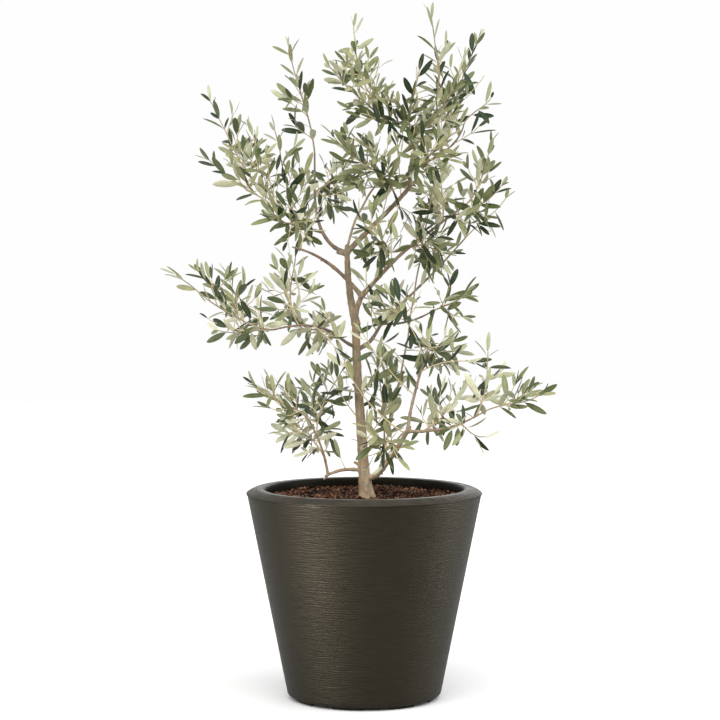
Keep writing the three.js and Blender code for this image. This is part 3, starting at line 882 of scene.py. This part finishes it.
# the shoots of one mass: a main one from the limb to the mass's far end, then side shoots, each
# toward the point that is still furthest from any shoot, leaving the shoot that gives the
# shortest way at about the usual angle
def growMass(name, seed):
    rng = np.random.default_rng(seed)
    points, skin = massPoints[name], massSkins[name]
    entry, forward, girth, atTip = findEntry(skin)
    centre = points.mean(0)
    tip = points[np.linalg.norm(points - entry, axis=1).argmax()]
    tip = tip + unit(centre - tip) * 0.02
    inward = unit(centre - entry)
    leave = unit(forward + 0.45 * inward) if atTip else unit(0.4 * forward + inward)
    main = bend(entry, leave, tip, unit(unit(tip - centre) + shootPlan["upturn"] * up), seed)
    foot = min(girth * (0.95 if atTip else 0.75), shootPlan["mainRadius"] * (1.3 if atTip else 1))
    shoots = [{"path": main, "radii": taper(len(main), foot, shootPlan["tipRadius"] * 1.2),
               "isMain": True, "mass": name, "bare": shootPlan["mainBare"] / np.linalg.norm(tip - entry)}]
    core = insidePoints(skin, points.min(0), points.max(0), rng)
    if len(core) == 0:
        return shoots
    gaps = np.linalg.norm(core[:, None] - main[None], axis=2).min(1)
    nodes, ways, sizes = main[2:-2], carryFrames(main)[0][2:-2], shoots[0]["radii"][2:-2]
    for turn in range(shootPlan["most"] * 2):
        far = gaps.argmax()
        if gaps[far] < shootPlan["cover"] or len(shoots) > shootPlan["most"]:
            break
        way = core[far] - nodes
        length = np.linalg.norm(way, axis=1)
        angle = np.degrees(np.arccos(np.clip((unit(way) * ways).sum(1), -1, 1)))
        cost = length * (1 + shootPlan["leaveCost"] * np.abs(angle - shootPlan["leave"]) / shootPlan["leave"])
        best = cost.argmin()
        if length[best] < shootPlan["shortest"]:
            gaps[far] = 0
            continue
        heading = unit(way[best])
        leave = unit(ways[best] * 0.5 + heading * 0.8)
        side = bend(nodes[best], leave, core[far], unit(heading + shootPlan["upturn"] * up), seed + turn + 1)
        radii = taper(len(side), min(shootPlan["sideRadius"], sizes[best] * 0.85), shootPlan["tipRadius"])
        shoots.append({"path": side, "radii": radii, "isMain": False, "mass": name,
                       "bare": shootPlan["sideBare"] / np.linalg.norm(way[best])})
        gaps = np.minimum(gaps, np.linalg.norm(core[:, None] - side[None], axis=2).min(1))
        nodes = np.vstack([nodes, side[2:-1]])
        ways = np.vstack([ways, carryFrames(side)[0][2:-1]])
        sizes = np.r_[sizes, radii[2:-1]]
    return shoots


# a shoot outside the masses: even steps whose heading and rise turn steadily, with a small wander
def growLoose(plan, seed):
    limb, share, length, heading, turn, rise, lift, foot, bare = plan
    count = max(6, int(length / shootPlan["step"]))
    t = np.linspace(0, 1, count)
    h, r = np.radians(heading + turn * t), np.radians(rise + lift * t)
    steps = np.column_stack([np.cos(r) * np.cos(h), np.cos(r) * np.sin(h), np.sin(r)]) * length / (count - 1)
    path = pointOnPath(fineLimbs[limb][0], share) + np.vstack([np.zeros(3), np.cumsum(steps[:-1], axis=0)])
    _, across, _ = carryFrames(path)
    path = path + across * (waveField(path, 0.014, seed) * np.sin(math.pi * t) * shootPlan["wander"])[:, None]
    return {"path": path, "radii": taper(count, foot, shootPlan["tipRadius"]), "isMain": False,
            "mass": None, "bare": bare}


shoots = []
for i, massName in enumerate(massNames):
    shoots += growMass(massName, shootPlan["seed"] + 100 * i)
for i, plan in enumerate(looseShoots):
    shoots.append(growLoose(plan, 9000 + i))
print("shoots grown:", len(shoots), "total length",
      round(sum(lengthsAlong(shoot["path"])[-1] for shoot in shoots), 2))


def growTwigs():
    old, young = [], []
    for shoot in shoots:
        blocks, sides = (old, "mainSides") if shoot["isMain"] else (young, "sideSides")
        blocks += sweepTube(shoot["path"], shoot["radii"], shootPlan[sides])
    for name, blocks, pale, dark in (
            ("twigs_older", old, (0.50, 0.40, 0.26), (0.30, 0.22, 0.13)),
            ("twigs_young", young, (0.74, 0.64, 0.38), (0.56, 0.44, 0.23))):
        addMesh(name, blocks, [twigMaterial(name + "_bark", pale, dark)], massNames)


growTwigs()
print("twigs grown")


# leaves

leafPlan = {
    "pairGap": 0.0245,       # between one pair and the next
    "gapSpread": (0.85, 1.5),    # how it differs from shoot to shoot
    "tipGap": 0.85,          # share of it near the tip
    "length": (0.038, 0.058),
    "half": 0.114,           # half the width, as a share of the length
    "open": (54, 28),        # degrees between leaf and shoot, at its foot and at its tip
    "openSpread": 7,
    "missing": 0.10,
    "roll": 36,
    "curl": 0.07,
    "bow": 0.035,            # bend to one side
    "heel": 0.0008,          # how far the stalk goes into the shoot
    "thick": 0.0007,
    "fold": 0.30,            # how far the edges rise above the midrib, as a share of the half width
    "outside": 0.028,        # a leaf that reaches further out of its mass is made shorter
    "shorter": 0.78,         # by this share, and left out if it still does
    "sparse": {"leaves_low_front": 0.5, "leaves_centre_front": 0.25, "leaves_mid_front": 0.2},
    "hanging": 0.11,         # share of older leaves that hang down
    # painted shade: most hanging leaves take the dark deep tone for the shade they hang in
    "hangingDeep": 0.7,      # share of those in the deep tone
    "ownTone": 0.6,          # share of a spray's leaves in the spray's own tone
    "seed": 77,
}
# stations along a leaf: share of its length and of its half width; the first two are the stalk
leafStations = np.array([(0.0, 0.09), (0.085, 0.09), (0.15, 0.36), (0.28, 0.76), (0.46, 0.99),
                         (0.66, 1.0), (0.84, 0.76), (0.95, 0.40)])


# leaf places along one shoot: opposite pairs, each pair a quarter turn on from the last
def placeLeaves(shoot, rng):
    path = shoot["path"]
    along = lengthsAlong(path)
    forward, across, other = carryFrames(path)
    spot = along[-1] * shoot["bare"] + rng.uniform(0, 0.008)
    quarter = rng.uniform(0, math.pi)
    gap = leafPlan["pairGap"] * rng.uniform(*leafPlan["gapSpread"])
    rows, spots = [], []
    while spot < along[-1] - 0.006:
        spots.append(spot)
        share = spot / along[-1]
        spot += gap * rng.uniform(0.85, 1.15) * (1.0 if share < 0.75 else leafPlan["tipGap"])
    spots.append(along[-1] - 0.001)
    for spot in spots:
        share = spot / along[-1]
        at = np.array([np.interp(spot, along, path[:, k]) for k in range(3)])
        i = min(np.searchsorted(along, spot), len(path) - 1)
        quarter += math.pi / 2 + rng.normal(0, 0.18)
        last = spot > along[-1] - 0.002
        for side in (0, math.pi):
            missing = leafPlan["missing"] * (0.3 if last else 1.0)
            if rng.random() < max(missing, leafPlan["sparse"].get(shoot["mass"], 0)):
                continue
            angle = quarter + side + rng.normal(0, 0.16)
            out = across[i] * math.cos(angle) + other[i] * math.sin(angle)
            low, high = leafPlan["open"]
            opened = low + (high - low) * share ** 1.5 + rng.normal(0, leafPlan["openSpread"])
            opened = math.radians(opened - (10 if last else 0))
            axis = unit(forward[i] * math.cos(opened) + out * math.sin(opened))
            hangs = rng.random() < leafPlan["hanging"] and share < 0.8
            if hangs:
                axis = unit(axis * 0.6 - up + rng.normal(0, 0.25, 3))
            size = rng.uniform(*leafPlan["length"]) * (0.86 + 0.22 * math.sin(math.pi * share))
            size *= rng.uniform(0.7, 1.0) if last else 1.0
            rows.append((at, axis, forward[i], size, hangs))
    return rows


# arrays for all leaves: foot, axis, upper side, length, half width, curl, bow to one side and tone
def gatherLeaves():
    rng = np.random.default_rng(leafPlan["seed"])
    tones = list(leafTones)
    shares = np.array([leafTones[t][2] for t in tones])
    found = []
    for shoot in shoots:
        main = rng.choice(len(tones), p=shares / shares.sum())
        for at, axis, forward, size, hangs in placeLeaves(shoot, rng):
            skin = massSkins.get(shoot["mass"])
            if skin and outsideBy(skin, at + axis * size) > leafPlan["outside"]:
                size *= leafPlan["shorter"]
                if outsideBy(skin, at + axis * size) > leafPlan["outside"]:
                    continue
            own = rng.random() < leafPlan["ownTone"]
            tone = main if own else rng.choice(len(tones), p=shares / shares.sum())
            # painted shade: most hanging leaves take the dark deep tone
            if hangs and rng.random() < leafPlan["hangingDeep"]:
                tone = tones.index("deep")
            found.append((at, axis, forward, size, tone))
    foot, axis, forward = (np.array([row[k] for row in found]) for k in range(3))
    size = np.array([row[3] for row in found])
    tone = np.array([row[4] for row in found])
    count = len(found)
    facing = forward * 0.8 + up * 0.20 + rng.normal(0, 0.22, (count, 3))
    facing = unit(facing - axis * (facing * axis).sum(1, keepdims=True))
    roll = np.radians(rng.normal(0, leafPlan["roll"], count))[:, None]
    facing = unit(facing * np.cos(roll) + np.cross(axis, facing) * np.sin(roll))
    half = size * leafPlan["half"] * rng.uniform(0.86, 1.16, count)
    curl = rng.normal(leafPlan["curl"], leafPlan["curl"], count)
    bow = rng.normal(0, leafPlan["bow"], count)
    fold = leafPlan["fold"] * rng.uniform(0.3, 1.5, count)
    return {"foot": foot, "axis": axis, "facing": facing, "size": size, "half": half,
            "curl": curl, "bow": bow, "fold": fold, "tone": tone}


# closed leaves: at each station four points (left edge, upper midrib, right edge, lower midrib),
# one point at the tip and one at the foot; the edges rise above the midrib, the blade curls back
def buildLeaves(leaves):
    count, stations = len(leaves["size"]), len(leafStations)
    side = np.cross(leaves["axis"], leaves["facing"])
    size, half = leaves["size"][:, None, None], leaves["half"][:, None, None]
    t = np.r_[leafStations[:, 0], 1.0]
    width = np.r_[leafStations[:, 1], 0.0]
    axis, facing, side = (v[:, None, :] for v in (leaves["axis"], leaves["facing"], side))
    drop = (leaves["curl"][:, None] * t**2)[..., None]
    sway = (leaves["bow"][:, None] * t**2)[..., None]
    spine = leaves["foot"][:, None] + size * (axis * t[None, :, None] - facing * drop + side * sway)
    spread = half * width[None, :, None] * side
    rise = half * (leaves["fold"][:, None] * np.minimum(width, 1))[..., None] * facing
    stout = np.array([1.2, 1.1] + [0.9] * (stations - 2) + [0])[None, :, None]
    thick = leafPlan["thick"] * 0.5 * facing * stout
    rows = np.stack([spine - spread + rise, spine + thick, spine + spread + rise, spine - thick], 2)
    body = rows[:, :stations].reshape(count, stations * 4, 3)
    heel = leaves["foot"][:, None] - axis * leafPlan["heel"]
    points = np.concatenate([body, spine[:, -1:], heel], 1)
    upper, lower = [], []
    for i in range(stations - 1):
        a, b = i * 4, i * 4 + 4
        upper += [(a, a + 1, b + 1, b), (a + 1, a + 2, b + 2, b + 1)]
        lower += [(a + 2, a + 3, b + 3, b + 2), (a + 3, a, b, b + 3)]
    last, tip, heelAt = (stations - 1) * 4, stations * 4, stations * 4 + 1
    upperEnds = [(last, last + 1, tip), (last + 1, last + 2, tip), (1, 0, heelAt), (2, 1, heelAt)]
    lowerEnds = [(last + 2, last + 3, tip), (last + 3, last, tip), (3, 2, heelAt), (0, 3, heelAt)]
    each = tip + 2
    shift = (np.arange(count) * each)[:, None, None]
    quads = np.concatenate([np.array(upper), np.array(lower)])
    ends = np.concatenate([np.array(upperEnds), np.array(lowerEnds)])
    quadFaces = (quads[None] + shift).reshape(-1, 4)
    endFaces = (ends[None] + shift).reshape(-1, 3)
    quadMat = np.tile(np.repeat([0, 1], len(upper)), count)
    endMat = np.tile(np.repeat([0, 1], 4), count)
    across = np.tile([0.0, 0.5, 1.0, 0.5], stations)
    length = np.repeat(leafStations[:, 0], 4)
    uv = np.column_stack([np.r_[length, 1, 0], np.r_[across, 0.5, 0.5]])
    rim = np.r_[np.tile([True, False, True, False], stations), True, False]
    blocks = shareBlocks(points.reshape(-1, 3), quadFaces, endFaces, quadMat, endMat)
    return blocks, np.tile(uv, (count, 1)), np.tile(rim, count)


# the edge of a leaf stays sharp between its two sides
def sharpenRims(piece, rim):
    mesh = piece.data
    ends = np.empty(len(mesh.edges) * 2, int)
    mesh.edges.foreach_get("vertices", ends)
    sharp = rim[ends.reshape(-1, 2)].all(1)
    mesh.attributes.new("sharp_edge", "BOOLEAN", "EDGE").data.foreach_set("value", sharp)


def growLeaves():
    leaves = gatherLeaves()
    for number, (toneName, (top, under, _)) in enumerate(leafTones.items()):
        chosen = {key: value[leaves["tone"] == number] for key, value in leaves.items()}
        blocks, uv, rim = buildLeaves(chosen)
        materials = [leafMaterial(f"leaf_{toneName}_upper", top, True),
                     leafMaterial(f"leaf_{toneName}_under", under, False)]
        piece = addMesh(f"leaves_{toneName}", blocks, materials, massNames, uv)
        sharpenRims(piece, rim)
    return len(leaves["size"]), np.bincount(leaves["tone"])


print("leaves grown:", growLeaves())


# pot

potPlan = {
    "height": 0.4535, "rim": 0.254, "lipEdge": 0.4444, "crest": 0.230, "mouth": 0.214,
    "lipDepth": 0.0295, "lipProud": 0.001, "wall": 0.006, "base": 0.167, "foot": 0.155,
    "footRise": 0.005, "corner": 0.015,
    "slots": 8, "slotStart": 0.118, "slotWidth": 0.056, "slotTurn": 9, "slotEdge": 0.0015,
    "rib": 0.0053,        # spacing of the combed ribs
    "ribDepth": 0.00021,
    "ripple": 0.0042,     # the same round the lip
    "sag": 0.0005,        # slow unevenness of the wall
    "groove": 0.0052,     # height of the fine groove below the lip's edge
    "bead": 0.0032,       # rounding of the lip's outer edge
    "segments": 300,
}


# radius of the straight wall's outside at a height
def wallAt(z):
    p = potPlan
    widening = p["rim"] - p["lipProud"] - p["base"]
    return p["base"] + widening * (z - p["corner"]) / (p["lipEdge"] - p["corner"])


# the pot's outline as (radius, height, rib share) rows, from under the foot up the outside, over
# the lip and down the inside to the floor
def potProfile():
    p = potPlan
    rows = [(0.0, 0.0, 0), (0.06, 0.0, 0), (p["slotStart"] - 0.0006, 0.0, 0), (p["slotStart"], 0.0, 0),
            (0.136, 0.0, 0), (p["foot"] - 0.002, 0.0, 0), (p["foot"] - 0.0005, 0.0006, 0),
            (p["foot"], 0.0018, 0), (p["foot"] + 0.0003, p["footRise"], 0)]
    for share in (0.2, 0.4, 0.6, 0.8):
        angle = share * math.pi / 2
        rows.append((p["foot"] + (p["base"] - p["foot"]) * math.sin(angle),
                     p["footRise"] + (p["corner"] - p["footRise"]) * (1 - math.cos(angle)), 0))
    top = p["lipEdge"] - p["groove"]
    count = int((top - p["corner"]) / (p["rib"] / 3))
    for z in np.linspace(p["corner"], top, count):
        rows.append((wallAt(z), z, 1))
    rows += [(wallAt(top) - 0.0006, top + 0.0005, 0), (wallAt(top) - 0.0005, top + 0.0011, 0)]
    bead = p["bead"]
    for angle in np.radians([-25, 0, 20, 40, 60]):
        rows.append((p["rim"] - bead + bead * math.cos(angle),
                     p["lipEdge"] - bead * 0.75 + bead * math.sin(angle), 0))
    startX, startZ = rows[-1][:2]
    slope = np.linspace(0, 1, 32)
    for k in slope[1:]:
        x = startX + (p["crest"] + 0.001 - startX) * k
        z = startZ + (p["height"] - 0.0004 - startZ) * math.sin(k * math.pi / 2)
        rows.append((x, z, 0.7))
    rows += [(p["crest"] - 0.003, p["height"], 0), (p["mouth"] + 0.005, p["height"] - 0.0003, 0),
             (p["mouth"] + 0.002, p["height"] - 0.0012, 0), (p["mouth"], p["height"] - 0.0032, 0),
             (p["mouth"] - 0.0008, p["height"] - 0.008, 0)]
    under = p["height"] - p["lipDepth"]
    rows += [(p["mouth"] - 0.0014, p["height"] - 0.016, 0), (p["mouth"] - 0.002, under, 0)]
    for z in np.linspace(under - 0.008, p["corner"] + p["wall"], 8):
        rows.append((wallAt(z) - p["wall"], z, 0))
    rows += [(0.08, p["corner"] + p["wall"], 0), (0.0, p["corner"] + p["wall"], 0)]
    return np.array(rows)


# revolved outline: each row's radius is moved by a rib wave whose phase and depth drift round the
# pot, and the foot is raised inside parallel-sided slots
def buildPot():
    p = potPlan
    profile = potProfile()
    radius, height, share = profile[1:-1].T
    angle = roundTurn(p["segments"])
    r, a = np.meshgrid(radius, angle, indexing="ij")
    z = np.repeat(height[:, None], len(angle), 1)
    place = np.stack([np.cos(a) * 0.2, np.sin(a) * 0.2, z * 0.6], -1)
    phase = waveField(place, 0.05, 61) * 0.9
    depth = 0.65 + 0.35 * waveField(place * [1, 1, 4], 0.03, 62)
    wave = np.sin(z / p["rib"] * 2 * math.pi + phase) * depth
    ripple = np.sin(r / p["ripple"] * 2 * math.pi + phase * 0.4) * 2.0
    onLip = (share == 0.7)[:, None]
    lift = np.where(onLip, ripple, wave) * (share > 0)[:, None] * p["ribDepth"]
    sag = waveField(place, 0.16, 63) * p["sag"] * (share > 0)[:, None]
    outward = r + np.where(onLip, 0, lift) + sag
    z = z + np.where(onLip, lift, 0)
    slot = np.zeros_like(a)
    for k in range(p["slots"]):
        turn = math.radians(p["slotTurn"] - 90 + k * 360 / p["slots"])
        across = np.abs(r * np.sin(a - turn))
        inside = smoothStep((p["slotWidth"] / 2 - across) / p["slotEdge"] + 0.5) * (np.cos(a - turn) > 0)
        slot = np.maximum(slot, inside)
    slot = slot * (r > p["slotStart"] - 0.0003) * (z < p["footRise"]) * (r < p["foot"] + 0.001)
    z = z + (p["footRise"] - z) * slot
    grid = np.stack([np.cos(a) * outward, np.sin(a) * outward, z], -1)
    points = np.concatenate([grid.reshape(-1, 3), [[0, 0, profile[0][1]], [0, 0, profile[-1][1]]]])
    inner = (np.arange(len(radius) - 1) > np.argmax(height)).repeat(p["segments"]).astype(int)
    # the inside takes the same plastic at level 0.45: painted shade
    addMesh("pot_shell", shareBlocks(points, *ringFaces(len(radius), p["segments"]), inner),
            [potMaterial("pot_outside", 1.0), potMaterial("pot_inside_painted_shade", 0.45)], ["pot"])


buildPot()
print("pot built")


# soil

soilPlan = {
    "top": 0.434, "radius": 0.2112, "floor": 0.022, "rings": 60, "segments": 180,
    "under": 0.003,       # the fine bed lies this far below the top
    "wallFoot": (0.2072, 0.405),    # radius and height of a ring below the edge
    "floorRadius": 0.16,
    "heap": 0.0042,
    "mound": 0.003,       # round the trunk
    "chips": 6600,
    "chipLengths": (0.0052, 0.0140),
    "pile": (0.0025, 0.0050),   # how far below the top the lowest chips lie, and how deep they are
    "clear": 0.016,       # no chip nearer the trunk's middle
    "rimGap": 0.006,
    "grains": 26,
    "grainLengths": (0.0035, 0.006),
    "seed": 5,
}
# tone of the bark chips: pale, dark, share
chipTones = {
    "rust": ((0.200, 0.078, 0.036), (0.052, 0.019, 0.009), 0.36),
    "umber": ((0.030, 0.013, 0.007), (0.008, 0.004, 0.002), 0.47),
    "tan": ((0.430, 0.240, 0.135), (0.170, 0.078, 0.038), 0.17),
}


# height of the loose surface over the soil's top
def soilHeight(x, y):
    place = np.stack([x, y, np.zeros_like(x)], -1)
    edge = smoothStep((soilPlan["radius"] - np.hypot(x, y)) / 0.02)
    trunkFoot = fineLimbs["trunk"][0][0]
    fromTrunk = np.hypot(x - trunkFoot[0], y - trunkFoot[1])
    mound = np.exp(-(fromTrunk / 0.05) ** 2) * soilPlan["mound"]
    waves = waveField(place, 0.035, 71) * 0.6 + waveField(place, 0.012, 72) * 0.4
    return waves * soilPlan["heap"] * edge + mound


# bumpy disc of fine soil: rings of points at the surface height, a wall and a flat floor
def buildSoil():
    p = soilPlan
    angle = roundTurn(p["segments"])
    ring = np.linspace(0, 1, p["rings"] + 1)[1:] * p["radius"]
    r, a = np.meshgrid(ring, angle, indexing="ij")
    x, y = r * np.cos(a), r * np.sin(a)
    rings = [np.stack([x, y, p["top"] - p["under"] + soilHeight(x, y)], -1)]
    for radius, height in (p["wallFoot"], (p["floorRadius"], p["floor"])):
        rings.append(np.stack([np.cos(angle) * radius, np.sin(angle) * radius,
                               np.full_like(angle, height)], -1)[None])
    grid = np.concatenate(rings)
    middle = p["top"] - p["under"] + soilHeight(np.zeros(1), np.zeros(1))[0]
    points = np.concatenate([grid.reshape(-1, 3), [[0, 0, middle], [0, 0, p["floor"]]]])
    quads, caps = ringFaces(len(grid), p["segments"])
    addMesh("soil_bed", shareBlocks(points, quads[:, [0, 3, 2, 1]], caps[:, [0, 2, 1]]),
            [chipMaterial("soil_fine", (0.026, 0.012, 0.007), (0.006, 0.003, 0.002), 240.0)],
            ["soil"])


# two coordinates turned round the third axis
def turned(first, second, angle):
    c, s = np.cos(angle)[:, None], np.sin(angle)[:, None]
    return first * c - second * s, first * s + second * c


# irregular chips: two rings of five points and two end points each, scaled to three different
# sizes, roughened and turned at random but lying mostly flat
def scatterChips(count, lengths, rng):
    angle = roundTurn(5)
    shape = np.concatenate([
        np.stack([np.full(5, -0.32), np.cos(angle) * 0.5, np.sin(angle) * 0.5], -1),
        np.stack([np.full(5, 0.30), np.cos(angle + 0.4) * 0.5, np.sin(angle + 0.4) * 0.5], -1),
        [[-0.5, 0, 0], [0.5, 0, 0]]])
    j = np.arange(5)
    k = (j + 1) % 5
    faces = np.concatenate([
        np.stack([j, k, k + 5], -1), np.stack([j, k + 5, j + 5], -1),
        np.stack([np.full(5, 10), k, j], -1), np.stack([np.full(5, 11), j + 5, k + 5], -1)])
    length = rng.uniform(*lengths, count) * rng.uniform(0.6, 1.0, count)
    width = length * rng.uniform(0.35, 0.75, count)
    scale = np.stack([length, width, length * rng.uniform(0.18, 0.42, count)], -1)
    body = shape[None] * rng.uniform(0.72, 1.25, (count, 12, 3)) * scale[:, None]
    heading, tilt = rng.uniform(0, 2 * math.pi, count), rng.normal(0, 0.38, count)
    y, z = turned(body[..., 1], body[..., 2], rng.normal(0, 0.5, count))
    x, z = turned(body[..., 0], z, tilt)
    x, y = turned(x, y, heading)
    reach = np.sqrt(rng.uniform(0, 1, count)) * (soilPlan["radius"] - soilPlan["rimGap"])
    where = rng.uniform(0, 2 * math.pi, count)
    px, py = reach * np.cos(where), reach * np.sin(where)
    foot = fineLimbs["trunk"][0][0]
    clear = np.hypot(px - foot[0], py - foot[1]) > soilPlan["clear"]
    low, deep = soilPlan["pile"]
    pz = soilPlan["top"] - low + soilHeight(px, py) + rng.uniform(0, deep, count)
    points = np.stack([x + px[:, None], y + py[:, None], z + pz[:, None]], -1)[clear]
    shift = (np.arange(len(points)) * 12)[:, None, None]
    return points.reshape(-1, 3), (faces[None] + shift).reshape(-1, 3)


def buildChips():
    p = soilPlan
    rng = np.random.default_rng(p["seed"])
    kinds = [(f"chips_{name}", f"chip_{name}", pale, dark, int(p["chips"] * share), p["chipLengths"])
             for name, (pale, dark, share) in chipTones.items()]
    kinds.append(("soil_grains", "grain_white", (0.72, 0.69, 0.62), (0.46, 0.42, 0.36), p["grains"],
                  p["grainLengths"]))
    for name, finishName, pale, dark, count, lengths in kinds:
        points, faces = scatterChips(count, lengths, rng)
        piece = addMesh(name, [(points, faces, 0)], [chipMaterial(finishName, pale, dark)], ["soil"])
        piece.data.shade_flat()


buildSoil()
buildChips()
print("soil built")


# floor

floorPlan = {"rings": (0.6, 1.4, 3.0, 9.0), "sides": 96, "height": -0.0005}


# flat disc just under the pot: rings round a middle point
def buildFloor():
    p = floorPlan
    r, a = np.meshgrid(p["rings"], roundTurn(p["sides"]), indexing="ij")
    grid = np.stack([r * np.cos(a), r * np.sin(a), np.full_like(r, p["height"])], -1)
    points = np.concatenate([grid.reshape(-1, 3), [[0, 0, p["height"]]]])
    quads, caps = ringFaces(len(p["rings"]), p["sides"])
    faces = caps[:p["sides"], [0, 2, 1]].tolist() + quads[:, [0, 3, 2, 1]].tolist()
    mesh = bpy.data.meshes.new("floor")
    mesh.from_pydata(points.tolist(), [], faces)
    mesh.materials.append(floorMaterial())
    floor = bpy.data.objects.new("floor", mesh)
    bpy.context.scene.collection.objects.link(floor)


buildFloor()
print("floor built")
